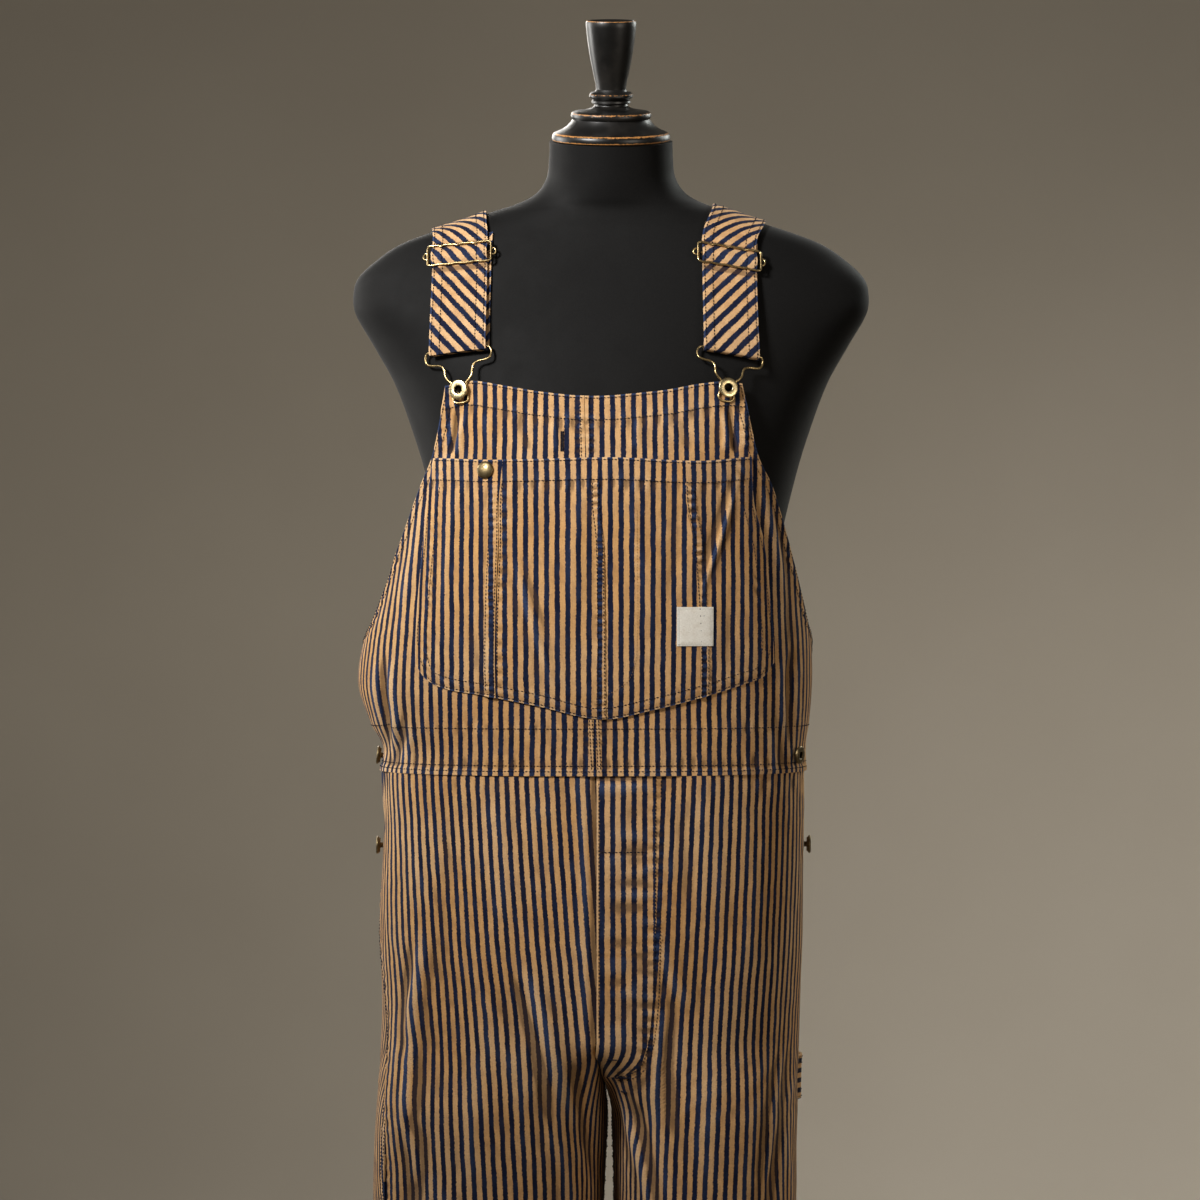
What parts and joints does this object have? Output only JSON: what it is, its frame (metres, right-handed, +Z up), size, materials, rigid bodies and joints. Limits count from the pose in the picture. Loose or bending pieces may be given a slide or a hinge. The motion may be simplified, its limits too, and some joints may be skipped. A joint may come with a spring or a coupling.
{
  "type": "dungarees on a dress form",
  "caption": "Bib dungarees in striped cotton with button sides, wire hooks and sliders, worn by a limbless dress form with a neck cap, finial, pole and round base.",
  "frame": {"origin": "on the floor at the middle of the round base", "axes": "+Z up, -Y to the front of the garment, +X to the wearer's left"},
  "size_m": [0.464, 0.38, 1.7714],
  "materials": {
    "striped_cotton": "woven vertical stripes of deep indigo and warm tan, faded at the edges",
    "label_cloth": "plain woven off-white",
    "brass": "antique brass, worn bright on its edges",
    "aged_brass": "dark aged brass",
    "form_cover": "matte black jersey cover",
    "turned_wood": "black paint, rubbed through to gold on its edges",
    "painted_steel": "satin black paint"
  },
  "bodies": {
    "root": {"bib_right": "striped_cotton", "bib_left": "striped_cotton", "bib_pocket_pencil": "striped_cotton", "bib_pocket_right": "striped_cotton", "bib_pocket_left": "striped_cotton", "bib_pocket_end": "striped_cotton", "upper_back_right": "striped_cotton", "upper_back_left": "striped_cotton", "leg_front_right": "striped_cotton", "leg_front_left": "striped_cotton", "leg_back_right": "striped_cotton", "leg_back_left": "striped_cotton", "strap_right": "striped_cotton", "strap_left": "striped_cotton", "hammer_loop": "striped_cotton", "label": "label_cloth", "hook_right": "brass", "hook_left": "brass", "slider_right": "brass", "slider_left": "brass", "slider_bar_right": "brass", "slider_bar_left": "brass", "bib_button_right": "brass", "bib_button_left": "brass", "side_button_right_upper": "brass", "side_button_left_upper": "brass", "side_button_right_lower": "brass", "side_button_left_lower": "brass", "pocket_button": "aged_brass", "form_torso": "form_cover", "neck_cap": "turned_wood", "neck_finial": "turned_wood", "stand_socket": "painted_steel", "stand_pole": "painted_steel", "stand_base": "painted_steel"}
  },
  "joints": []
}
